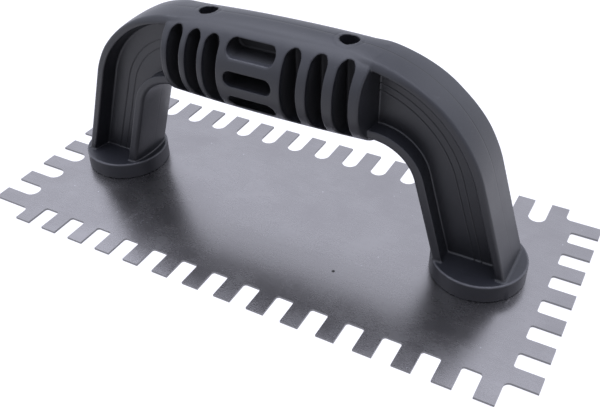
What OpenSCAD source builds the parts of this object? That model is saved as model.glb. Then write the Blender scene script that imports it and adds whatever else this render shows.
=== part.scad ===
// Notched trowel: a flat notched steel blade under a moulded bridge handle.
// The origin is the centre of the blade's underside. X runs along the blade, +Z is up.
// The front edge and the right end have square notches, the back edge and the left end U notches.

/* [Blade] */
// Length of the blade over the tooth tips
blade_length = 210.5; // [190:0.5:240]
// Width of the blade over the tooth tips
blade_width = 98.8; // [96:0.2:120]
// Thickness of the sheet
blade_thickness = 0.8; // [0.6:0.1:1.2]

/* [Notches] */
// Distance from one tooth to the next
notch_pitch = 12.7; // [10:0.1:12.7]
// Width of a tooth
tooth_width = 6.35; // [4:0.05:7]
// Number of teeth along each long edge
long_teeth = 15; // [5:2:15]
// Number of teeth along each short end
short_teeth = 7; // [3:1:7]
// Depth of the square notches
square_depth = 9.5; // [6:0.1:10]
// Depth of the U notches
u_depth = 12.7; // [8:0.1:13]
// Radius in the bottom corners of the square notches
notch_fillet = 1; // [0.4:0.1:1.6]
// Radius in the inner corner of the four corner cut-outs
corner_fillet = 2; // [1:0.1:3]
// Shift of the front row of teeth along X
front_row_shift = 3.2; // [-3:0.1:4]
// Shift of the back row of teeth along X
back_row_shift = 0.2; // [-3:0.1:4]
// Shift of the right-hand row of teeth along Y
right_row_shift = 1.7; // [-2:0.1:2]
// Shift of the left-hand row of teeth along Y
left_row_shift = -1.9; // [-2:0.1:2]

/* [Handle] */
// Centre of the handle along X
handle_x = -2; // [-8:0.1:8]
// Centre of the handle along Y
handle_y = 2.7; // [-8:0.1:8]
// Height of the handle above the blade
handle_height = 74.7; // [70:0.1:80]
// Half of the outer length of the bridge where it would meet the blade
outer_reach = 88.3; // [86:0.1:89]
// Lean of the outer face of each leg from the vertical
outer_lean = 17.7; // [15:0.1:20]
// Radius of the outer bend between leg and grip
outer_bend = 47; // [40:0.5:50]
// Radius of the slow crown along the top
crown_radius = 450; // [300:10:900]
// Half of the inner length of the bridge where it would meet the blade
inner_reach = 63.8; // [61:0.1:65]
// Lean of the inner face of each leg from the vertical
inner_lean = 16.7; // [14:0.1:19]
// Radius of the inner bend between leg and grip
inner_bend = 16; // [10:0.5:20]
// Height of the underside of the bridge above the blade
underside = 46.5; // [44:0.1:48]
// Thickness of the two flanges at their edges
flange_thickness = 3.2; // [2.5:0.1:5]
// Width of the flanges
flange_width = 19.6; // [16:0.2:21]
// Rounding of the flanges' edges
flange_round = 0.8; // [0.4:0.1:1.4]
// Rise of the outer flange's face from its edges to its middle
outer_crown = 1.2; // [0.5:0.1:2.5]
// Rise of the inner flange's face from its edges to its middle
inner_crown = 1.4; // [0.5:0.1:2]
// Thickness of the web between the flanges
web_thickness = 7; // [6:0.1:9]

/* [Grip] */
// Radius of the round grip at its middle
grip_radius = 16.4; // [15:0.1:17]
// Loss of radius from the middle of the grip to its ends
grip_taper = 0.7; // [0.3:0.1:1.5]
// Length of the grip
grip_length = 72.8; // [70:0.2:76]
// Shift of the grip and its top holes along the handle
grip_shift = -0.9; // [-1.5:0.1:1.5]
// Radius around the ends of the grip
grip_end_radius = 2; // [1:0.1:3]
// Thickness of the solid core between the slots of the two sides
grip_core = 10; // [9:0.2:14]
// Width of each slot
slot_width = 5.2; // [4:0.1:6]
// Height of the upright slots
upright_slot = 26.2; // [20:0.2:27]
// Distance from the handle's centre to the first upright slot on the left
left_first_slot = 17.9; // [16:0.05:18.5]
// Distance from one upright slot to the next on the left
left_slot_pitch = 7.35; // [7:0.05:7.8]
// Distance from the handle's centre to the first upright slot on the right
right_first_slot = 11.55; // [10.5:0.05:12]
// Distance from one upright slot to the next on the right
right_slot_pitch = 9; // [8.5:0.05:9.5]
// Length of the lying slots
lying_slot = 17.8; // [14:0.2:18]
// Distance from one lying slot to the next
lying_pitch = 9.2; // [8:0.1:9.4]
// Place of the lying slots along the handle
lying_shift = -3.3; // [-4:0.1:-2]

/* [Top holes] */
// Diameter of the two holes in the top of the grip
top_hole_diameter = 6.35; // [4:0.05:7]
// Depth of those holes
top_hole_depth = 8; // [4:0.5:12]
// Distance between the two holes
top_hole_spacing = 52.1; // [40:0.1:60]

/* [Feet and screws] */
// Distance between the centres of the feet
foot_spacing = 149; // [144:0.1:150]
// Radius of each foot
foot_radius = 16.2; // [15.5:0.1:18]
// Height of each foot
foot_height = 6.5; // [4:0.1:8]
// Radius around the top of each foot
foot_edge = 0.8; // [0.4:0.1:1.5]
// Diameter of the screw heads
head_diameter = 9; // [8:0.1:10]
// Diameter of the screws
screw_diameter = 4; // [3.5:0.1:4.5]
// Length of the screws with their heads
screw_length = 19; // [14:0.5:22]
// Length of the blunt cone at a screw's tip
screw_tip = 2.5; // [1:0.1:4]
// Length of the cross recess in a screw head
recess_length = 5; // [4:0.1:6]
// Width of the cross recess
recess_width = 1.1; // [0.8:0.1:1.4]
// Depth of the cross recess
recess_depth = 1.7; // [1.2:0.1:2]

/* [Hidden] */
$fn = 64;
overcut = 1;
notch_width = notch_pitch - tooth_width;
half_length = blade_length / 2;
half_width = blade_width / 2;
sheet_slant = blade_thickness * sqrt(2);
head_radius = head_diameter / 2;
screw_radius = screw_diameter / 2;
dimple_play = 0.1;
dimple_height = head_radius - screw_radius;
screw_end_radius = 0.4;
bore_bottom_play = 1;
leg_start = foot_height - 1;
grip_z = handle_height - grip_radius;
top_hole_bottom = handle_height - top_hole_depth;
inner_end = 104;
bend_steps = 24;
crown_steps = 16;
edge_steps = 8;
sweep_sides = 192;
grip_sides = 96;

// Length of a row from the first tooth's outer side to the last one's
function row_length(teeth) = (teeth - 1) * notch_pitch + tooth_width;

// Points on an arc about c, from angle a to angle b
function arc(c, r, a, b, steps) =
    [for (i = [0 : steps]) let (t = a + (b - a) * i / steps) c + r * [cos(t), sin(t)]];

// Points of a half outline with its mirror image, as one closed run
function both_halves(half) =
    concat(half, [for (i = [len(half) - 1 : -1 : 0]) [-half[i][0], half[i][1]]]);

// Centre of the outer bend: it touches the leg's outer face and the crown along the top
crown_centre = [0, handle_height - crown_radius];
outer_normal = [cos(outer_lean), sin(outer_lean)];
outer_along = [-sin(outer_lean), cos(outer_lean)];
bend_out = outer_reach * cos(outer_lean) - outer_bend - crown_centre[1] * sin(outer_lean);
bend_up = sqrt(pow(crown_radius - outer_bend, 2) - pow(bend_out, 2));
outer_centre = crown_centre + bend_out * outer_normal + bend_up * outer_along;
crown_angle = atan2(outer_centre[1] - crown_centre[1], outer_centre[0]);

// Centre of the inner bend: it touches the leg's inner face and the underside
inner_centre = [
    (inner_reach * cos(inner_lean) - inner_bend - (underside - inner_bend) * sin(inner_lean))
        / cos(inner_lean),
    underside - inner_bend];

// Half of the web's outer line, set in by t, from the foot to the middle of the top
function outer_half(t) = concat(
    [[outer_reach - t / cos(outer_lean) - leg_start * tan(outer_lean), leg_start]],
    arc(outer_centre, outer_bend - t, outer_lean, crown_angle, bend_steps),
    [[0, handle_height - t]]);

// Half of the web's inner line, set in by t, from the foot to the middle of the underside
function inner_half(t) = concat(
    [[inner_reach + t / cos(inner_lean) - leg_start * tan(inner_lean), leg_start]],
    arc(inner_centre, inner_bend + t, inner_lean, 90, bend_steps),
    [[0, underside + t]]);

// Points across a flange's crowned face: x falls by crown from the middle to the edges
function crowned_face(width, crown, side) =
    let (radius = (pow(width / 2, 2) + pow(crown, 2)) / (2 * crown), half_angle = asin(width / 2 / radius))
    [for (i = [-crown_steps / 2 : crown_steps / 2])
        let (t = i / (crown_steps / 2) * half_angle)
        [side * (radius * cos(t) - radius), radius * sin(t)]];

// A square notch cut upwards from the X axis, with rounded bottom corners
module square_notch(width, depth, fillet) {
    translate([-width / 2, -overcut])
        square([width, depth - fillet + overcut]);
    translate([-width / 2 + fillet, 0])
        square([width - 2 * fillet, depth]);
    for (side = [-1, 1])
        translate([side * (width / 2 - fillet), depth - fillet])
            circle(fillet);
}

// A U notch cut upwards from the X axis
module u_notch(width, depth) {
    translate([-width / 2, -overcut])
        square([width, depth - width / 2 + overcut]);
    translate([0, depth - width / 2])
        circle(width / 2);
}

// The notches between the teeth of one row, centred on shift
module notch_row(teeth, shift, round_bottom) {
    for (i = [1 : teeth - 1])
        translate([shift + (i - teeth / 2) * notch_pitch, 0])
            if (round_bottom)
                u_notch(notch_width, u_depth);
            else
                square_notch(notch_width, square_depth, notch_fillet);
}

// One corner cut-out: everything outside the point [x, y] in the quadrant sx, sy
module corner_cut(sx, sy, x, y) {
    reach_x = half_length + overcut - abs(x);
    reach_y = half_width + overcut - abs(y);
    translate([x, y])
        in_quadrant(sx, sy) {
            translate([corner_fillet, 0])
                square([reach_x - corner_fillet, reach_y]);
            translate([0, corner_fillet])
                square([reach_x, reach_y - corner_fillet]);
            translate([corner_fillet, corner_fillet])
                circle(corner_fillet);
        }
}

// Turns a shape drawn in the +X +Y quadrant into the quadrant sx, sy
module in_quadrant(sx, sy) {
    mirror([sx < 0 ? 1 : 0, 0])
        mirror([0, sy < 0 ? 1 : 0])
            children();
}

// Outline of the blade seen from above
module blade_outline() {
    long_half = row_length(long_teeth) / 2;
    short_half = row_length(short_teeth) / 2;
    difference() {
        square([blade_length, blade_width], center = true);
        translate([0, -half_width])
            notch_row(long_teeth, front_row_shift, false);
        translate([0, half_width])
            mirror([0, 1])
                notch_row(long_teeth, back_row_shift, true);
        translate([half_length, 0])
            rotate(90)
                notch_row(short_teeth, right_row_shift, false);
        translate([-half_length, 0])
            rotate(-90)
                notch_row(short_teeth, -left_row_shift, true);
        corner_cut(1, -1, front_row_shift + long_half, right_row_shift - short_half);
        corner_cut(-1, -1, front_row_shift - long_half, left_row_shift - short_half);
        corner_cut(1, 1, back_row_shift + long_half, right_row_shift + short_half);
        corner_cut(-1, 1, back_row_shift - long_half, left_row_shift + short_half);
    }
}

// Places its children at both feet, at the height of the blade's underside
module at_feet() {
    for (side = [-1, 1])
        translate([handle_x + side * foot_spacing / 2, handle_y, 0])
            children();
}

// Sheet blade with a pressed, conical dimple around each screw
module blade() {
    color("silver") {
        difference() {
            linear_extrude(blade_thickness)
                blade_outline();
            at_feet()
                translate([0, 0, -overcut])
                    cylinder(h = blade_thickness + 2 * overcut, r = head_radius);
        }
        at_feet()
            difference() {
                cylinder(h = dimple_height, r1 = head_radius + sheet_slant, r2 = screw_radius + sheet_slant);
                translate([0, 0, -overcut])
                    cylinder(h = dimple_height + 2 * overcut, r1 = head_radius + overcut,
                        r2 = screw_radius - overcut);
                translate([0, 0, -overcut])
                    cylinder(h = dimple_height + 2 * overcut, r = screw_radius + dimple_play);
            }
    }
}
blade();

// Extrudes an outline drawn in the XZ plane to a total width along Y
module upright(width) {
    rotate([90, 0, 0])
        linear_extrude(width, center = true)
            children();
}

// The strip between two open lines that run side by side from foot to foot
module strip(outside, inside) {
    outer_line = both_halves(outside);
    inner_line = both_halves(inside);
    polygon(concat(outer_line, [for (i = [len(inner_line) - 1 : -1 : 0]) inner_line[i]]));
}

// Cross-section of a flange: crowned on the face at x = 0, flat on the other face
module flange_section(crown, side) {
    face = crowned_face(flange_width - 2 * flange_round, crown, side);
    back = -side * (flange_thickness + crown);
    edge = flange_width / 2;
    shoulder = -side * (crown + flange_round);
    polygon(concat(face, [[shoulder, edge], [back, edge], [back, -edge], [shoulder, -edge]]));
}

// One bend and one leg of a flange, swept along an arc and then straight down.
// Both flanges end inside the grip
module flange_sweep(centre, radius, lean, end_angle, crown, side) {
    translate([centre[0], 0, centre[1]])
        rotate([90, 0, 0]) {
            rotate(lean)
                rotate_extrude(angle = end_angle - lean, $fn = sweep_sides)
                    translate([radius, 0])
                        flange_section(crown, side);
            rotate(lean)
                translate([radius, 0, 0])
                    rotate([90, 0, 0])
                        linear_extrude((centre[1] + radius * sin(lean)) / cos(lean))
                            flange_section(crown, side);
        }
}

// Web and two flanges of the bridge
module bridge() {
    upright(web_thickness)
        strip(outer_half(flange_thickness / 2), inner_half(flange_thickness / 2));
    difference() {
        for (side = [0, 1])
            mirror([side, 0, 0]) {
                flange_sweep(outer_centre, outer_bend, outer_lean, crown_angle, outer_crown, 1);
                flange_sweep(inner_centre, inner_bend - inner_crown, inner_lean, inner_end, inner_crown, -1);
            }
        translate([-blade_length, -blade_width, -blade_length])
            cube([2 * blade_length, 2 * blade_width, blade_length + leg_start]);
    }
}

// Round grip with a slight belly and rounded ends, turned about the X axis
module grip_body() {
    half = grip_length / 2;
    belly = (half * half + grip_taper * grip_taper) / (2 * grip_taper);
    end_angle = asin((half - grip_end_radius) / belly);
    end_centre = [grip_radius - belly + belly * cos(end_angle) - grip_end_radius, half - grip_end_radius];
    right_half = concat(
        arc([grip_radius - belly, 0], belly, 0, end_angle, crown_steps),
        arc(end_centre, grip_end_radius, end_angle, 90, edge_steps));
    profile = concat(
        [[0, -half]],
        [for (i = [len(right_half) - 1 : -1 : 1]) [right_half[i][0], -right_half[i][1]]],
        right_half,
        [[0, half]]);
    translate([grip_shift, 0, grip_z])
        rotate([0, 90, 0])
            rotate_extrude($fn = grip_sides)
                polygon(profile);
}

// A slot with round ends along X, centred on the origin of the XZ plane
module slot_outline(length, width) {
    square([length - width, width], center = true);
    for (side = [-1, 1])
        translate([side * (length - width) / 2, 0])
            circle(width / 2);
}

// Three upright slots at their places along the handle
module upright_slots(first, step) {
    for (i = [0 : 2])
        translate([first + i * step, 0])
            rotate(90)
                slot_outline(upright_slot, slot_width);
}

// All slots of the front or the back, from the core outwards
module slots_of_one_side(side) {
    translate([0, side * (grip_core + grip_radius) / 2, grip_z])
        rotate([90, 0, 0])
            linear_extrude(grip_radius, center = true) {
                upright_slots(-left_first_slot, -left_slot_pitch);
                upright_slots(right_first_slot, right_slot_pitch);
                for (i = [-1 : 1])
                    translate([lying_shift, i * lying_pitch])
                        slot_outline(lying_slot, slot_width);
            }
}

// Round foot with a rounded upper edge
module foot() {
    rotate_extrude()
        polygon(concat(
            [[0, 0], [foot_radius, 0]],
            arc([foot_radius - foot_edge, foot_height - foot_edge], foot_edge, 0, 90, edge_steps),
            [[0, foot_height]]));
}

// Moulded handle in one piece: bridge, grip and both feet
module handle() {
    color("darkslategray")
        difference() {
            translate([handle_x, handle_y, blade_thickness])
                difference() {
                    union() {
                        bridge();
                        grip_body();
                        for (side = [-1, 1])
                            translate([side * foot_spacing / 2, 0, 0])
                                foot();
                    }
                    for (side = [-1, 1]) {
                        slots_of_one_side(side);
                        translate([grip_shift + side * top_hole_spacing / 2, 0, top_hole_bottom])
                            cylinder(h = top_hole_depth + overcut, r = top_hole_diameter / 2);
                    }
                }
            at_feet() {
                cylinder(h = dimple_height + dimple_play, r1 = head_radius + sheet_slant + dimple_play,
                    r2 = screw_radius + sheet_slant);
                cylinder(h = screw_length + bore_bottom_play, r = screw_radius);
            }
        }
}
handle();

// Countersunk screws, driven from below with a cross recess
module handle_screws() {
    color("dimgray")
        at_feet()
            difference() {
                union() {
                    cylinder(h = dimple_height, r1 = head_radius, r2 = screw_radius);
                    cylinder(h = screw_length - screw_tip, r = screw_radius);
                    translate([0, 0, screw_length - screw_tip])
                        cylinder(h = screw_tip, r1 = screw_radius, r2 = screw_end_radius);
                }
                for (turn = [0, 90])
                    rotate(turn)
                        translate([-recess_length / 2, -recess_width / 2, -overcut])
                            cube([recess_length, recess_width, recess_depth + overcut]);
            }
}
handle_screws();
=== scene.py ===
"""Notched trowel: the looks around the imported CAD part.

The scene is in metres. The handle's surface is worked out as a signed distance field in
millimetres, measured from the point on the blade's upper face below the handle's middle.
"""

import math

import bpy
import numpy as np
from mathutils import Matrix, Vector


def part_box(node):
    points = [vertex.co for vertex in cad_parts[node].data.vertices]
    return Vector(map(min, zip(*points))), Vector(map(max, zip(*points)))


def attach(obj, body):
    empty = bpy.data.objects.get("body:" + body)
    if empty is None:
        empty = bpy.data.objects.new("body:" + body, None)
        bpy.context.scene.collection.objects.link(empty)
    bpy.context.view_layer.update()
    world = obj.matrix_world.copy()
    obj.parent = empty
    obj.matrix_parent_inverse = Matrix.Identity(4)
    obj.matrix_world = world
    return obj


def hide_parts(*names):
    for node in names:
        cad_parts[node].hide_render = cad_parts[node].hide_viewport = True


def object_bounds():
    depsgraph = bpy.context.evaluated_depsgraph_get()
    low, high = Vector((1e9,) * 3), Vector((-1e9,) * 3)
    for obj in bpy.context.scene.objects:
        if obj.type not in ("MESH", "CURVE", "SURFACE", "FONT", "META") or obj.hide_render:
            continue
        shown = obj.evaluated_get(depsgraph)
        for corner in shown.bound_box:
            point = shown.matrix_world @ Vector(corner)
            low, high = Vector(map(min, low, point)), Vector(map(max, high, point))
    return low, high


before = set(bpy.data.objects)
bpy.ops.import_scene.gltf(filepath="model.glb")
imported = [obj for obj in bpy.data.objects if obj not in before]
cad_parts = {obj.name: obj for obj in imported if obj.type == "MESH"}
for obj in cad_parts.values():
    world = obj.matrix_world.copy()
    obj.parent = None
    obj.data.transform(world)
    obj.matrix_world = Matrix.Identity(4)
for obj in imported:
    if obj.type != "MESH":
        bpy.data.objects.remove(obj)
cad_low, cad_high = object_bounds()

MM = 0.001
handle_low, handle_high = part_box("handle")
HANDLE_ORIGIN = np.array([
    (handle_low.x + handle_high.x) / 2,
    (handle_low.y + handle_high.y) / 2,
    handle_low.z])
HANDLE_HALF_LENGTH = (handle_high.x - handle_low.x) / 2 / MM
HANDLE_HALF_WIDTH = (handle_high.y - handle_low.y) / 2 / MM
HANDLE_HEIGHT = (handle_high.z - handle_low.z) / MM

# ---------------------------------------------------------------- handle: driving dimensions, mm

# Outer line of the bridge: straight legs, a bend and a slow crown. The legs' lean and the bends'
# radius differ a little on the left and on the right, and the crown's highest point is off centre
OUTER_REACH = 88.3
LEFT_LEAN = math.radians(18.0)
LEFT_BEND = 41.5
RIGHT_LEAN = math.radians(18.1)
RIGHT_BEND = 50.0
CROWN_RADIUS = 390.0
CROWN_X = 3.0

# Inner line: straight legs, a bend and a flat underside. The left leg's face is further out
INNER_REACH_LEFT = 64.9
INNER_REACH_RIGHT = 63.6
INNER_LEAN = math.radians(16.7)
INNER_BEND = 16.0
UNDERSIDE = 46.5

# The web between the flanges
WEB_HALF = 3.5
WEB_MARGIN = 2.0
FLANGE_ROOT = 4.2
CORNER_FILLET = 0.6
# The crown of a flange's face goes on to this share of its half width
FLANGE_REACH = 1.2

# Outer flange along the bend: half width, drop of its edges, their rounding and the lip's
# thickness, at angles counted up from the horizontal
BEND_ANGLES = (17.7, 30.0, 52.0, 80.0, 90.0)
OUTER_HALF_WIDTH = (9.6, 9.5, 8.9, 9.05, 9.2)
OUTER_DROP = (0.05, 0.15, 0.5, 1.0, 1.3)
OUTER_EDGE = (0.9, 0.9, 1.0, 2.3, 3.0)
OUTER_LIP = (2.85, 2.8, 2.6, 2.2, 2.1)
FOOT_FLARE = 0.35
FLARE_HEIGHT = 26.0
# Over the grip the flange gets the barrel's rounder section: its drop and its edges' rounding
# grow by these amounts between the two distances from the middle
MERGE_START = 39.0
MERGE_END = 22.0
MERGE_DROP = 1.45
MERGE_EDGE = 1.5

# Inner flange
INNER_HALF_WIDTH = 9.7
INNER_CROWN = 1.4
INNER_EDGE = 1.0
INNER_LIP = 3.2
LIP_EDGE = 0.45

# Grip: a barrel about the X direction, with a fuller section at the ends of its upper half and
# its top a small gap below the outer line
GRIP_RADIUS = 16.4
GRIP_TAPER = 0.7
GRIP_MIDDLE = -0.9
GRIP_HALF = 36.4
GRIP_END_EDGE = 0.7
GRIP_END_DRAFT = 1.9
GRIP_Z = HANDLE_HEIGHT - GRIP_RADIUS
GRIP_TOP_GAP = 0.2
GRIP_FULLNESS = 0.3
GRIP_BLEND = 0.4

# Slots in the front and the back of the grip: the upright ones as places and widths along X, and
# heights counted from the grip's axis
SLOT_FLOOR = 5.0
SLOT_EDGE = 0.6
SLOT_FLOOR_FILLET = 0.8
SLOT_BOTTOM = -12.3
LEFT_SLOT_TOP = 12.3
RIGHT_SLOT_TOP = 13.2
LEFT_SLOTS = ((-17.9, 5.4), (-25.25, 4.9), (-32.6, 5.0))
RIGHT_SLOTS = ((11.55, 5.5), (20.55, 5.4), (29.55, 5.2))
LYING_SLOT = 17.8
LYING_WIDTH = 5.2
LYING_PITCH = 9.2
LYING_MIDDLE = -3.3
LYING_RISE = 0.9

# Holes in the top of the grip
TOP_HOLE_RADIUS = 3.175
TOP_HOLE_DEPTH = 8.0
TOP_HOLE_EDGE = 0.15
TOP_HOLE_HALF_SPACING = 26.05
TOP_RING_RADIUS = 4.7
TOP_RING_WIDTH = 0.45
TOP_RING_DEPTH = 0.1

# Feet, screw holes and the dimples' seats
FOOT_HALF_SPACING = 74.5
FOOT_RADIUS = 16.2
FOOT_HEIGHT = 6.5
FOOT_EDGE = 0.6
FOOT_FILLET = 0.7
SCREW_RADIUS = 2.0
SCREW_DEPTH = 19.2
SEAT_RADIUS = 5.0
SEAT_DEPTH = 1.8
# Brings the cone's field closer to a true distance
CONE_SCALE = 0.5

# Meshing: grid spacing in mm, and steps for settling the points on the surface
GRID = 0.5
GRADIENT_STEP = 0.02
PROJECTION_STEPS = 4
MAX_MOVE = 0.5 * GRID
LEAST_SQUARE_SLOPE = 0.25
TINY = 1e-9
MARGIN_CELLS = 2
MAX_TRIANGLES = 185_000


# ---------------------------------------------------------------- distance field helpers

def smooth_table(value, places, heights):
    """Heights joined by smooth steps, so that the surface has no kinks along its way."""
    result = np.full_like(value, heights[0])
    for a, b, low, high in zip(places, places[1:], heights, heights[1:]):
        t = np.clip((value - a) / (b - a), 0.0, 1.0)
        result += (high - low) * t * t * (3 - 2 * t)
    return result


def round_both(a, b, radius):
    """Where both fields are inside, with the edge between them rounded."""
    corner = np.hypot(np.maximum(a + radius, 0), np.maximum(b + radius, 0))
    return np.minimum(np.maximum(a, b), -radius) + corner


def round_either(a, b, radius):
    """Where either field is inside, with a fillet of that radius between them."""
    corner = np.hypot(np.maximum(radius - a, 0), np.maximum(radius - b, 0))
    return np.maximum(np.minimum(a, b), radius) - corner


# ---------------------------------------------------------------- handle: lines of the bridge

CROWN_Z = HANDLE_HEIGHT - CROWN_RADIUS


def outer_line(lean, bend, crown_x):
    """Lean, bend radius and the centre of the bend that touches both the leg and the crown."""
    out = (OUTER_REACH - crown_x) * math.cos(lean) - bend - CROWN_Z * math.sin(lean)
    up = math.sqrt((CROWN_RADIUS - bend) ** 2 - out ** 2)
    centre_x = crown_x + out * math.cos(lean) - up * math.sin(lean)
    centre_z = CROWN_Z + out * math.sin(lean) + up * math.cos(lean)
    return lean, bend, centre_x, centre_z


LEFT_LINE = outer_line(LEFT_LEAN, LEFT_BEND, -CROWN_X)
RIGHT_LINE = outer_line(RIGHT_LEAN, RIGHT_BEND, CROWN_X)


def line_at(x):
    """The outer line's lean, bend radius and bend centre on the side where x is."""
    return [np.where(x < 0, left, right) for left, right in zip(LEFT_LINE, RIGHT_LINE)]


def outer_depth(x, z):
    """Depth below the bridge's outer line."""
    across = np.abs(x)
    lean, radius, centre_x, centre_z = line_at(x)
    leg = (OUTER_REACH - z * np.tan(lean) - across) * np.cos(lean)
    bend = radius - np.hypot(across - centre_x, z - centre_z)
    crown = CROWN_RADIUS - np.hypot(x - CROWN_X, z - CROWN_Z)
    angle = np.arctan2(z - centre_z, across - centre_x)
    side = np.where(angle < lean, leg, bend)
    crown_x = np.where(x < 0, -CROWN_X, CROWN_X)
    on_crown = (across - crown_x) * (centre_z - CROWN_Z) < (z - CROWN_Z) * (centre_x - crown_x)
    return np.where(on_crown, crown, side)


def inner_depth(x, z):
    """Depth of the material above the bridge's inner line."""
    across = np.abs(x)
    reach = np.where(x < 0, INNER_REACH_LEFT, INNER_REACH_RIGHT)
    slope = math.sin(INNER_LEAN)
    centre_z = UNDERSIDE - INNER_BEND
    centre_x = (reach * math.cos(INNER_LEAN) - INNER_BEND - centre_z * slope) / math.cos(INNER_LEAN)
    leg = (across - reach + z * math.tan(INNER_LEAN)) * math.cos(INNER_LEAN)
    bend = np.hypot(across - centre_x, z - centre_z) - INNER_BEND
    angle = np.arctan2(z - centre_z, across - centre_x)
    side = np.where(angle < INNER_LEAN, leg, bend)
    return np.where((across < centre_x) & (z > centre_z), z - UNDERSIDE, side)


# ---------------------------------------------------------------- handle: its parts

def flange(depth, y, half_width, drop, edge, lip):
    """A crowned strip: depth is measured from the middle of its face."""
    share = np.minimum(y / half_width, FLANGE_REACH)
    face = drop * share ** 2 - depth
    side = y - half_width
    run = half_width - WEB_HALF
    draft = (drop + lip - FLANGE_ROOT) / run
    back = (depth - FLANGE_ROOT - draft * (y - WEB_HALF)) / np.hypot(1, draft)
    return round_both(round_both(face, side, edge), back, LIP_EDGE)


def foot_flare(z):
    """How much wider a flange gets on each side towards the foot."""
    return FOOT_FLARE * np.clip(1 - z / FLARE_HEIGHT, 0, 1) ** 2


def outer_flange(x, y, z):
    depth = outer_depth(x, z)
    across = np.abs(x)
    centre_x, centre_z = line_at(x)[2:]
    angle = np.degrees(np.arctan2(z - centre_z, np.maximum(across - centre_x, 0)))
    half_width = smooth_table(angle, BEND_ANGLES, OUTER_HALF_WIDTH) + foot_flare(z)
    merged = smooth_table(across, (MERGE_END, MERGE_START), (1.0, 0.0))
    return flange(
        depth, y, half_width,
        smooth_table(angle, BEND_ANGLES, OUTER_DROP) + MERGE_DROP * merged,
        smooth_table(angle, BEND_ANGLES, OUTER_EDGE) + MERGE_EDGE * merged,
        smooth_table(angle, BEND_ANGLES, OUTER_LIP))


def inner_flange(x, y, z):
    depth = inner_depth(x, z) + INNER_CROWN
    half_width = INNER_HALF_WIDTH + foot_flare(z)
    return flange(depth, y, half_width, INNER_CROWN, INNER_EDGE, INNER_LIP)


def web(x, y, z):
    inside = np.maximum(WEB_MARGIN - outer_depth(x, z), WEB_MARGIN - inner_depth(x, z))
    return np.maximum(y - WEB_HALF, inside)


def feet(x, y, z):
    radial = np.hypot(np.abs(x) - FOOT_HALF_SPACING, y) - FOOT_RADIUS
    return round_both(radial, z - FOOT_HEIGHT, FOOT_EDGE)


def barrel(x, y, z):
    """The round grip. Its top runs just below the bridge's outer line and its end faces lean
    outwards towards the web."""
    along = np.abs(x - GRIP_MIDDLE)
    radius = GRIP_RADIUS - GRIP_TAPER * (along / GRIP_HALF) ** 2
    top = GRIP_RADIUS - (x - CROWN_X) ** 2 / (2 * CROWN_RADIUS) - GRIP_TOP_GAP
    rise = z - GRIP_Z
    level = np.abs(np.where(rise > 0, rise * radius / top, rise))
    power = 2 + np.where(rise > 0, GRIP_FULLNESS, 0) * np.minimum(along / GRIP_HALF, 1) ** 2
    side = (y ** power + level ** power) ** (1 / power) - radius
    draft = GRIP_END_DRAFT / (GRIP_RADIUS - WEB_HALF)
    end_face = GRIP_HALF + draft * (GRIP_RADIUS - np.maximum(y, WEB_HALF))
    end = (along - end_face) / math.hypot(1, draft)
    return round_both(side, end, GRIP_END_EDGE)


def stadium(u, v, length, width):
    """A flat outline with round ends, its length along u."""
    return np.hypot(np.maximum(np.abs(u) - (length - width) / 2, 0), v) - width / 2


def slots(x, y, z):
    height = z - GRIP_Z
    outline = np.full_like(x, np.inf)
    for row, top in ((LEFT_SLOTS, LEFT_SLOT_TOP), (RIGHT_SLOTS, RIGHT_SLOT_TOP)):
        middle = (top + SLOT_BOTTOM) / 2
        for place, width in row:
            upright = stadium(height - middle, x - place, top - SLOT_BOTTOM, width)
            outline = np.minimum(outline, upright)
    for step in (-1, 0, 1):
        above = height - LYING_RISE - step * LYING_PITCH
        outline = np.minimum(outline, stadium(x - LYING_MIDDLE, above, LYING_SLOT, LYING_WIDTH))
    return round_both(outline, SLOT_FLOOR - y, SLOT_FLOOR_FILLET)


def with_top_holes(body, x, y, z):
    """Cuts the two holes in the top of the grip, each with a faint sunk ring around it."""
    distance = np.hypot(np.abs(x - GRIP_MIDDLE) - TOP_HOLE_HALF_SPACING, y)
    ring = TOP_RING_DEPTH * np.exp(-((distance - TOP_RING_RADIUS) / TOP_RING_WIDTH) ** 2)
    body = body + np.where(z > GRIP_Z, ring, 0)
    hole = np.maximum(distance - TOP_HOLE_RADIUS, HANDLE_HEIGHT - TOP_HOLE_DEPTH - z)
    return round_both(body, -hole, TOP_HOLE_EDGE)


def screw_space(x, y, z):
    """The bore for each screw and the cone that the blade's dimple sits in."""
    distance = np.hypot(np.abs(x) - FOOT_HALF_SPACING, y)
    bore = np.maximum(distance - SCREW_RADIUS, z - SCREW_DEPTH)
    cone = distance + z * (SEAT_RADIUS - SCREW_RADIUS) / SEAT_DEPTH - SEAT_RADIUS
    return np.minimum(bore, cone * CONE_SCALE)


def handle_field(x, y, z):
    """Signed distance to the handle's surface, negative inside. y is never negative here."""
    bridge = round_either(web(x, y, z), outer_flange(x, y, z), CORNER_FILLET)
    bridge = round_either(bridge, inner_flange(x, y, z), CORNER_FILLET)
    body = round_either(bridge, barrel(x, y, z), GRIP_BLEND)
    body = np.maximum(body, -outer_depth(x, z))
    body = round_both(body, -slots(x, y, z), SLOT_EDGE)
    body = round_either(body, feet(x, y, z), FOOT_FILLET)

    body = with_top_holes(body, x, y, z)
    body = np.maximum(body, -screw_space(x, y, z))
    return np.maximum(np.maximum(body, -z), z - HANDLE_HEIGHT)


# ---------------------------------------------------------------- handle: mesh from the field

def field_at(points):
    return handle_field(points[:, 0], np.abs(points[:, 1]), points[:, 2])


def gradient_at(points):
    result = np.empty_like(points)
    for axis in range(3):
        step = np.zeros(3)
        step[axis] = GRADIENT_STEP
        result[:, axis] = field_at(points + step) - field_at(points - step)
    return result / (2 * GRADIENT_STEP)


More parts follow.
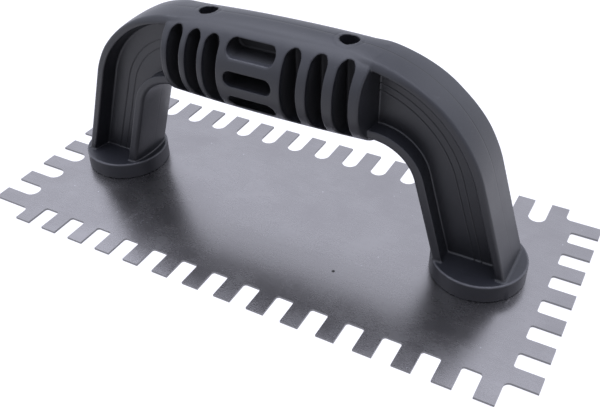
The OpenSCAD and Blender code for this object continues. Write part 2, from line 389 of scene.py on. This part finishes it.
def settle(points):
    """Moves points onto the surface along the field's gradient."""
    for _ in range(PROJECTION_STEPS):
        slope = gradient_at(points)
        length = np.maximum((slope ** 2).sum(1), LEAST_SQUARE_SLOPE)
        move = slope * (field_at(points) / length)[:, None]
        size = np.linalg.norm(move, axis=1, keepdims=True)
        points = points - move * np.minimum(1, MAX_MOVE / np.maximum(size, TINY))
    return points


def surface_net(values, low, step):
    """Vertices and quads between the grid points where the field changes sign."""
    inside = values < 0
    cells = tuple(n - 1 for n in values.shape)
    total = np.zeros((np.prod(cells), 3))
    count = np.zeros(np.prod(cells))
    corners = []
    for axis in range(3):
        first = [slice(None)] * 3
        second = [slice(None)] * 3
        first[axis] = slice(None, -1)
        second[axis] = slice(1, None)
        change = inside[tuple(first)] != inside[tuple(second)]
        place = np.argwhere(change)
        a = values[tuple(first)][change]
        b = values[tuple(second)][change]
        crossing = place.astype(float)
        crossing[:, axis] += a / (a - b)
        u, v = (axis + 1) % 3, (axis + 2) % 3
        around = []
        for du, dv in ((-1, -1), (0, -1), (0, 0), (-1, 0)):
            cell = place.copy()
            cell[:, u] += du
            cell[:, v] += dv
            index = np.ravel_multi_index(cell.T, cells)
            for k in range(3):
                total[:, k] += np.bincount(index, crossing[:, k], len(total))
            count += np.bincount(index, minlength=len(count))
            around.append(index)
        quads = np.stack(around, 1)
        leaving = inside[tuple(first)][change]
        quads[~leaving] = quads[~leaving][:, ::-1]
        corners.append(quads)
    used = np.flatnonzero(count)
    number = np.full(len(count), -1)
    number[used] = np.arange(len(used))
    points = total[used] / count[used, None] * step + low
    return points, number[np.concatenate(corners)]


def handle_grid():
    """The field on a regular grid, worked out for one half and mirrored. In Z the grid is half a
    cell off, so that none of its points lies on the flat underside."""
    half_y = math.ceil(HANDLE_HALF_WIDTH / GRID) + MARGIN_CELLS
    half_x = math.ceil(HANDLE_HALF_LENGTH / GRID) + MARGIN_CELLS
    top = math.ceil(HANDLE_HEIGHT / GRID) + MARGIN_CELLS
    xs = np.arange(-half_x, half_x + 1) * GRID
    ys = np.arange(half_y + 1) * GRID
    zs = (np.arange(-MARGIN_CELLS, top + 1) - 0.5) * GRID
    x, y, z = np.meshgrid(xs, ys, zs, indexing="ij")
    half = handle_field(x.ravel(), y.ravel(), z.ravel()).reshape(x.shape)
    whole = np.concatenate([half[:, :0:-1], half], axis=1)
    return whole, np.array([xs[0], -ys[-1], zs[0]])


def mesh_from(name, points, faces):
    mesh = bpy.data.meshes.new(name)
    mesh.from_pydata(points.tolist(), [], faces.tolist())
    return mesh


def applied(obj, kind, **settings):
    """Applies one modifier to an object's mesh."""
    modifier = obj.modifiers.new(kind.lower(), kind)
    for key, value in settings.items():
        setattr(modifier, key, value)
    graph = bpy.context.evaluated_depsgraph_get()
    mesh = bpy.data.meshes.new_from_object(obj.evaluated_get(graph))
    obj.modifiers.clear()
    obj.data = mesh


def coordinates(mesh):
    flat = np.empty(len(mesh.vertices) * 3)
    mesh.vertices.foreach_get("co", flat)
    return flat.reshape(-1, 3)


def make_handle():
    values, low = handle_grid()
    points, faces = surface_net(values, low, GRID)
    obj = bpy.data.objects.new("handle_moulding", mesh_from("handle_moulding", settle(points), faces))
    bpy.context.scene.collection.objects.link(obj)
    triangles = 2 * len(faces)
    if triangles > MAX_TRIANGLES:
        applied(obj, "DECIMATE", ratio=MAX_TRIANGLES / triangles)
    mesh = obj.data
    points = settle(coordinates(mesh))
    slope = gradient_at(points)
    normals = slope / np.linalg.norm(slope, axis=1, keepdims=True)
    mesh.vertices.foreach_set("co", (points * MM + HANDLE_ORIGIN).ravel())
    mesh.polygons.foreach_set("use_smooth", np.ones(len(mesh.polygons), bool))
    mesh.normals_split_custom_set_from_vertices(normals.tolist())
    mesh.update()
    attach(obj, "root")
    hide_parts("handle")
    return obj


# ---------------------------------------------------------------- materials

# Lines on the handle, mm: mould lines on the webs by their depths below the outer line, and the
# parting line along the middle
LEFT_WEB_LINES = (10.4, 13.3)
RIGHT_WEB_LINES = (9.0, 11.4)
WEB_LINE_HALF = 0.3
PARTING_HALF = 0.4
PARTING_LOW = 8.0
PARTING_HIGH = 55.0
LINE_DEPTH = 0.0002
# The slots' walls are fully painted dark as shade and dull, and not at all, at these depths
# below the barrel's surface
SLOT_SHADE_DEPTHS = (2.4, 1.0)

# Base colours, linear
PLASTIC_DARK = (0.022, 0.023, 0.029)
PLASTIC_LIGHT = (0.028, 0.029, 0.036)
SCUFF_COLOUR = (0.09, 0.092, 0.10)
# Painted highlight along the feet's upper rim
RIM_HIGHLIGHT_COLOUR = (0.20, 0.20, 0.22)
# Painted shade on the slots' walls
SLOT_SHADE_COLOUR = (0.008, 0.008, 0.009)
LINE_COLOUR = (0.006, 0.006, 0.007)
STEEL_DARK = (0.335, 0.325, 0.335)
STEEL_LIGHT = (0.375, 0.365, 0.375)
STREAK_COLOUR = (0.31, 0.30, 0.31)
SPECK_COLOUR = (0.70, 0.70, 0.75)
DARK_SPECK_COLOUR = (0.04, 0.04, 0.04)
# Sheared steel's tone with painted shade on the upright cut edges
CUT_EDGE_SHADE_COLOUR = (0.16, 0.16, 0.165)
ZINC_DARK = (0.50, 0.51, 0.53)
ZINC_LIGHT = (0.62, 0.63, 0.66)
FLOOR_DARK = (0.20, 0.20, 0.20)
FLOOR_LIGHT = (0.24, 0.24, 0.24)
FLOOR_GLOW_COLOUR = (1, 1, 1.1)


class Nodes:
    """A material with a Principled shader, and short ways to add nodes to it."""

    def __init__(self, name):
        self.material = bpy.data.materials.new(name)
        self.material.use_nodes = True
        self.tree = self.material.node_tree
        self.shader = self.tree.nodes["Principled BSDF"]
        self.place = self.add("ShaderNodeTexCoord").outputs["Object"]

    def add(self, kind, **settings):
        node = self.tree.nodes.new(kind)
        for key, value in settings.items():
            setattr(node, key, value)
        return node

    def link(self, source, target):
        self.tree.links.new(source, target)

    def math(self, operation, *values, clamp=False):
        node = self.add("ShaderNodeMath", operation=operation, use_clamp=clamp)
        for socket, value in zip(node.inputs, values):
            if isinstance(value, bpy.types.NodeSocket):
                self.link(value, socket)
            else:
                socket.default_value = value
        return node.outputs[0]

    def stretched(self, scale):
        """The place on the object, scaled along X, Y and Z."""
        node = self.add("ShaderNodeMapping")
        node.inputs["Scale"].default_value = scale
        self.link(self.place, node.inputs["Vector"])
        return node.outputs[0]

    def noise(self, scale, detail=2.0, roughness=0.5, distortion=0.0, place=None):
        node = self.add("ShaderNodeTexNoise")
        node.inputs["Scale"].default_value = scale
        node.inputs["Detail"].default_value = detail
        node.inputs["Roughness"].default_value = roughness
        node.inputs["Distortion"].default_value = distortion
        self.link(place or self.place, node.inputs["Vector"])
        return node.outputs["Fac"]

    def ramp(self, value, low, high, to_low=0.0, to_high=1.0):
        """Maps the range low..high onto to_low..to_high."""
        node = self.add("ShaderNodeMapRange")
        self.link(value, node.inputs["Value"])
        limits = {"From Min": low, "From Max": high, "To Min": to_low, "To Max": to_high}
        for key, number in limits.items():
            node.inputs[key].default_value = number
        return node.outputs["Result"]

    def mix(self, share, first, second):
        """Mixes two colours, each a socket or three numbers."""
        node = self.add("ShaderNodeMix", data_type="RGBA")
        self.link(share, node.inputs["Factor"])
        for socket, value in ((node.inputs[6], first), (node.inputs[7], second)):
            if isinstance(value, bpy.types.NodeSocket):
                self.link(value, socket)
            else:
                socket.default_value = (*value, 1)
        return node.outputs[2]

    def spot(self, place, radius):
        """1 at a place on the blade, falling to 0 at the radius around it."""
        away = self.add("ShaderNodeVectorMath", operation="DISTANCE")
        flat = self.add("ShaderNodeVectorMath", operation="MULTIPLY")
        self.link(self.place, flat.inputs[0])
        flat.inputs[1].default_value = (1, 1, 0)
        self.link(flat.outputs[0], away.inputs[0])
        away.inputs[1].default_value = (place[0] * MM, place[1] * MM, 0)
        return self.ramp(away.outputs["Value"], 0, radius * MM, 1, 0)

    def upward(self):
        """How far a face looks up or down: 1 on a level face and 0 on an upright one."""
        apart = self.add("ShaderNodeSeparateXYZ")
        self.link(self.add("ShaderNodeNewGeometry").outputs["True Normal"], apart.inputs[0])
        return self.math("ABSOLUTE", apart.outputs[2])

    def handle_place(self):
        """Distances in mm from the handle's origin, along X, Y and Z."""
        apart = self.add("ShaderNodeSeparateXYZ")
        self.link(self.place, apart.inputs[0])
        return [self.math("MULTIPLY", self.math("SUBTRACT", socket, float(start)), 1 / MM)
                for socket, start in zip(apart.outputs, HANDLE_ORIGIN)]

    def outer_depth(self, x, z):
        """The same depth below the bridge's outer line as the field has, on legs and bends."""
        across = self.math("ABSOLUTE", x)
        depths = []
        for lean, radius, centre_x, centre_z in (LEFT_LINE, RIGHT_LINE):
            out = self.math("SUBTRACT", across, centre_x)
            up = self.math("SUBTRACT", z, centre_z)
            square = self.math("ADD", self.math("POWER", out, 2.0), self.math("POWER", up, 2.0))
            bend = self.math("SUBTRACT", radius, self.math("SQRT", square))
            run = self.math("ADD", across, self.math("MULTIPLY", z, math.tan(lean)))
            leg = self.math("MULTIPLY", self.math("SUBTRACT", OUTER_REACH, run), math.cos(lean))
            above = self.math("GREATER_THAN", up, self.math("MULTIPLY", out, math.tan(lean)))
            depths.append(self.either(above, leg, bend))
        return self.either(self.math("GREATER_THAN", x, 0.0), *depths)

    def either(self, share, first, second):
        """first where share is 0 and second where it is 1."""
        rest = self.math("MULTIPLY", self.math("SUBTRACT", 1.0, share), first)
        return self.math("ADD", rest, self.math("MULTIPLY", share, second))

    def line(self, value, place, half_width):
        """1 on the line where value is at place, falling to 0 half a width away."""
        distance = self.math("ABSOLUTE", self.math("SUBTRACT", value, place))
        return self.ramp(distance, 0, half_width, 1, 0)

    def two_lines(self, value, places, half_width):
        """1 on both lines where value is at one of the two places."""
        first, second = (self.line(value, place, half_width) for place in places)
        return self.math("MAXIMUM", first, second)

    def in_slots(self, x, y, z):
        """1 inside the slots, below the barrel's surface: the part painted dark as shade."""
        up = self.math("SUBTRACT", z, GRIP_Z)
        square = self.math("ADD", self.math("POWER", up, 2.0), self.math("POWER", y, 2.0))
        full, none = SLOT_SHADE_DEPTHS
        below = self.ramp(self.math("SQRT", square), GRIP_RADIUS - full, GRIP_RADIUS - none, 1, 0)
        slot_top = max(LEFT_SLOT_TOP, RIGHT_SLOT_TOP)
        below = self.math("MULTIPLY", below, self.ramp(up, slot_top - 0.8, slot_top + 0.2, 1, 0))
        off = self.math("ABSOLUTE", self.math("SUBTRACT", x, GRIP_MIDDLE))
        return self.math("MULTIPLY", below, self.ramp(off, GRIP_HALF - 2, GRIP_HALF - 1, 1, 0))

    def foot_rim(self, x, y, z):
        """1 on the upper rim of both feet, where the painted highlight goes."""
        out = self.math("SUBTRACT", self.math("ABSOLUTE", x), FOOT_HALF_SPACING)
        square = self.math("ADD", self.math("POWER", out, 2.0), self.math("POWER", y, 2.0))
        around = self.line(self.math("SQRT", square), FOOT_RADIUS - FOOT_EDGE / 3, FOOT_EDGE)
        return self.math("MULTIPLY", around, self.line(z, FOOT_HEIGHT - FOOT_EDGE / 3, FOOT_EDGE))

    def bump(self, height, distance, strength=1.0, below=None):
        node = self.add("ShaderNodeBump")
        node.inputs["Distance"].default_value = distance
        node.inputs["Strength"].default_value = strength
        self.link(height, node.inputs["Height"])
        if below is not None:
            self.link(below, node.inputs["Normal"])
        return node.outputs["Normal"]


def plastic_material():
    """Satin black moulded plastic: fine spark-eroded grain, mould lines, a painted highlight on the
    feet's upper rim, light handling wear, and duller slots painted dark as shade."""
    n = Nodes("handle_plastic_look")
    grain = n.noise(5200, detail=3, roughness=0.6)
    patches = n.noise(70, detail=4, roughness=0.55)
    scuffs = n.noise(420, detail=5, roughness=0.7, distortion=0.6)

    along, across, height = n.handle_place()
    depth = n.outer_depth(along, height)
    side = n.math("ABSOLUTE", across)
    outside = n.ramp(side, WEB_HALF - 0.2, WEB_HALF + 0.1, 0, 1)
    on_web = n.math("MULTIPLY", outside, n.ramp(side, WEB_HALF + 0.4, WEB_HALF + 0.9, 1, 0))
    on_web = n.math("MULTIPLY", on_web, n.ramp(depth, 6, 7, 0, 1))
    left_lines = n.two_lines(depth, LEFT_WEB_LINES, WEB_LINE_HALF)
    right_lines = n.two_lines(depth, RIGHT_WEB_LINES, WEB_LINE_HALF)
    web_lines = n.either(n.math("GREATER_THAN", along, 0.0), left_lines, right_lines)
    web_lines = n.math("MULTIPLY", web_lines, on_web)
    fading = n.ramp(height, PARTING_LOW, PARTING_HIGH, 0.3, 1)
    parting = n.math("MULTIPLY", n.line(across, 0.0, PARTING_HALF), fading)
    lines = n.math("MAXIMUM", web_lines, parting, clamp=True)
    grooves = n.math("MAXIMUM", web_lines, n.math("MULTIPLY", parting, 0.3), clamp=True)

    light = n.mix(n.ramp(patches, 0.3, 0.7), PLASTIC_DARK, PLASTIC_LIGHT)
    worn = n.mix(n.ramp(scuffs, 0.62, 0.8, 0, 0.35), light, SCUFF_COLOUR)
    # Painted highlight: a light colour along the feet's upper rim stands in for its glint
    rim_highlight = n.foot_rim(along, across, height)
    worn = n.mix(n.math("MULTIPLY", rim_highlight, 0.6), worn, RIM_HIGHLIGHT_COLOUR)
    # Painted shade: the slots' walls are coloured near black where they lie in shade, and made duller
    inside = n.in_slots(along, across, height)
    worn = n.mix(n.math("MULTIPLY", inside, 0.75), worn, SLOT_SHADE_COLOUR)
    colour = n.mix(n.math("MULTIPLY", lines, 0.85), worn, LINE_COLOUR)
    n.link(colour, n.shader.inputs["Base Color"])

    rough = n.ramp(patches, 0.25, 0.75, 0.35, 0.43)
    rough = n.math("ADD", rough, n.ramp(grain, 0.3, 0.7, -0.03, 0.03))
    rough = n.math("ADD", rough, n.math("MULTIPLY", inside, 0.25))
    n.link(rough, n.shader.inputs["Roughness"])
    n.shader.inputs["IOR"].default_value = 1.5

    fine = n.bump(grain, 0.00003, 0.7)
    waves = n.bump(patches, 0.0003, 0.25, below=fine)
    cut = n.bump(n.math("SUBTRACT", 1.0, grooves), LINE_DEPTH, 0.8, below=waves)
    n.link(cut, n.shader.inputs["Normal"])
    return n.material


# Marks on the blade's upper face: places along X and Y and radii, in mm
SPECKLED_PLACE = (-45.0, -30.0)
SPECKLED_RADIUS = 18.0
DARK_SPECK_PLACE = (30.0, -21.0)
DARK_SPECK_RADIUS = 1.0


def blade_material():
    """Cold-rolled spring steel: a lengthwise ground grain, faint stains, a few specks, and cut edges
    darker from their sheared tone and from painted shade."""
    n = Nodes("blade_steel_look")
    grain = n.noise(900, detail=4, roughness=0.65, place=n.stretched((0.09, 1, 1)))
    fine = n.noise(3600, detail=2, roughness=0.6, place=n.stretched((0.12, 1, 1)))
    cloud = n.noise(45, detail=6, roughness=0.65, distortion=0.4)
    specks = n.noise(900, detail=0)

    base = n.mix(n.ramp(cloud, 0.3, 0.7), STEEL_DARK, STEEL_LIGHT)
    streaked = n.mix(n.ramp(grain, 0.35, 0.65, 0, 0.25), base, STREAK_COLOUR)
    more = n.math("MULTIPLY", n.spot(SPECKLED_PLACE, SPECKLED_RADIUS), 0.15)
    speckled = n.math("ADD", specks, more)
    marked = n.mix(n.ramp(speckled, 0.86, 0.91, 0, 0.8), streaked, SPECK_COLOUR)
    dark_speck = n.ramp(n.spot(DARK_SPECK_PLACE, DARK_SPECK_RADIUS), 0.3, 0.6)
    marked = n.mix(dark_speck, marked, DARK_SPECK_COLOUR)
    # Upright cut edges are painted darker: shade in place of what they mirror, on top of the sheared
    # steel's tone
    colour = n.mix(n.ramp(n.upward(), 0.3, 0.7), CUT_EDGE_SHADE_COLOUR, marked)
    n.link(colour, n.shader.inputs["Base Color"])
    n.shader.inputs["Metallic"].default_value = 1.0

    rough = n.ramp(cloud, 0.3, 0.7, 0.24, 0.30)
    rough = n.math("ADD", rough, n.ramp(fine, 0.3, 0.7, -0.015, 0.015))
    n.link(rough, n.shader.inputs["Roughness"])

    ground = n.bump(grain, 0.0000018, 0.5)
    waves = n.bump(cloud, 0.00006, 0.3, below=ground)
    n.link(n.bump(fine, 0.0000008, 0.5, below=waves), n.shader.inputs["Normal"])
    return n.material


def screw_material():
    """Zinc-plated steel."""
    n = Nodes("screw_steel_look")
    cloud = n.noise(400, detail=3)
    fine = n.noise(3000, detail=2)
    colour = n.mix(n.ramp(cloud, 0.3, 0.7), ZINC_DARK, ZINC_LIGHT)
    n.link(colour, n.shader.inputs["Base Color"])
    n.shader.inputs["Metallic"].default_value = 1.0
    n.link(n.ramp(cloud, 0.3, 0.7, 0.26, 0.4), n.shader.inputs["Roughness"])
    n.link(n.bump(fine, 0.00001, 0.4), n.shader.inputs["Normal"])
    return n.material


def floor_material():
    """A matt floor that glows, so that it stays pale far from the softboxes."""
    n = Nodes("pale_floor")
    cloud = n.noise(6, detail=2)
    n.link(n.mix(cloud, FLOOR_DARK, FLOOR_LIGHT), n.shader.inputs["Base Color"])
    n.shader.inputs["Roughness"].default_value = 0.9
    n.shader.inputs["Specular IOR Level"].default_value = 0.1
    n.shader.inputs["Emission Color"].default_value = (*FLOOR_GLOW_COLOUR, 1)
    n.shader.inputs["Emission Strength"].default_value = FLOOR_GLOW
    return n.material


def dress(obj, material):
    obj.data.materials.clear()
    obj.data.materials.append(material)


# ---------------------------------------------------------------- stage, light and camera

# Metres, and the strength of the floor's own light
FLOOR_HALF = 3.0
FLOOR_GAP = 0.0002
FLOOR_GLOW = 0.92


def make_floor():
    """A level sheet just below the blade. Its glow doesn't light the object's matt side."""
    height = cad_low.z - FLOOR_GAP
    corners = ((-1, -1), (1, -1), (1, 1), (-1, 1))
    points = [(x * FLOOR_HALF, y * FLOOR_HALF, height) for x, y in corners]
    mesh = bpy.data.meshes.new("floor")
    mesh.from_pydata(points, [], [(0, 1, 2, 3)])
    floor = bpy.data.objects.new("floor", mesh)
    bpy.context.scene.collection.objects.link(floor)
    dress(floor, floor_material())
    floor.visible_diffuse = False


# Round softboxes: elevation and azimuth in degrees, width in metres, power in watts.
# Azimuth 0 is the front (-Y) and 90 the right (+X)
SOFTBOXES = (
    (90, 0, 1.0, 8.3),
    (65, 120, 0.7, 1.7),
    (65, 240, 0.7, 2.6),
    (38, 315, 0.7, 0.6),
    (33, 145, 0.6, 0.5))
SOFTBOX_DISTANCE = 1.0
# The softbox above this elevation doesn't show in the blade
OVERHEAD = 80
SOFTBOX_TARGET = Vector((0, 0, 0.03))
LIGHT_COLOUR = (1.0, 1.03, 1.19)
SURROUND_COLOUR = (0.95, 0.98, 1.1)


def direction(azimuth, elevation):
    """Unit vector from the object towards a place around it."""
    return Vector((
        math.sin(azimuth) * math.cos(elevation),
        -math.cos(azimuth) * math.cos(elevation),
        math.sin(elevation)))


def make_lights():
    for number, (elevation, azimuth, width, power) in enumerate(SOFTBOXES):
        data = bpy.data.lights.new(f"softbox_{number}", "AREA")
        data.shape = "DISK"
        data.size = width
        data.energy = power
        data.color = LIGHT_COLOUR
        light = bpy.data.objects.new(data.name, data)
        outwards = direction(math.radians(azimuth), math.radians(elevation))
        light.location = SOFTBOX_TARGET + SOFTBOX_DISTANCE * outwards
        light.rotation_mode = "QUATERNION"
        light.rotation_quaternion = outwards.to_track_quat("Z", "Y")
        light.visible_camera = False
        light.visible_glossy = elevation < OVERHEAD
        bpy.context.scene.collection.objects.link(light)


def make_backdrop():
    """A pale surround: the blade mirrors it, and the softboxes do the rest of the lighting."""
    world = bpy.data.worlds.new("surround")
    bpy.context.scene.world = world
    world.use_nodes = True
    background = world.node_tree.nodes["Background"]
    background.inputs["Color"].default_value = (*SURROUND_COLOUR, 1)
    world.cycles_visibility.diffuse = False


# Camera: metres, and the lens and sensor in millimetres
CAMERA_TARGET = Vector((0.0035, 0.0037, 0.0035))
CAMERA_DISTANCE = 0.2884
CAMERA_AZIMUTH = math.radians(29.9)
CAMERA_ELEVATION = math.radians(37.65)
CAMERA_ROLL = math.radians(-1.54)
CAMERA_LENS = 46.43
CAMERA_SENSOR = 36.0
CAMERA_CLIP = 0.01


def make_camera():
    data = bpy.data.cameras.new("camera")
    data.sensor_width = CAMERA_SENSOR
    data.lens = CAMERA_LENS
    data.clip_start = CAMERA_CLIP
    camera = bpy.data.objects.new("camera", data)
    back = direction(CAMERA_AZIMUTH, CAMERA_ELEVATION)
    level = Vector((math.cos(CAMERA_AZIMUTH), math.sin(CAMERA_AZIMUTH), 0))
    steep = back.cross(level)
    right = math.cos(CAMERA_ROLL) * level + math.sin(CAMERA_ROLL) * steep
    up = back.cross(right)
    turn = Matrix((right, up, back)).transposed()
    camera.matrix_world = Matrix.Translation(CAMERA_TARGET + CAMERA_DISTANCE * back) @ turn.to_4x4()
    bpy.context.scene.collection.objects.link(camera)
    bpy.context.scene.camera = camera


make_camera()
make_lights()
make_backdrop()
make_floor()
bpy.context.scene.view_settings.view_transform = "Standard"

dress(make_handle(), plastic_material())
dress(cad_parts["blade"], blade_material())
dress(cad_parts["handle_screws"], screw_material())
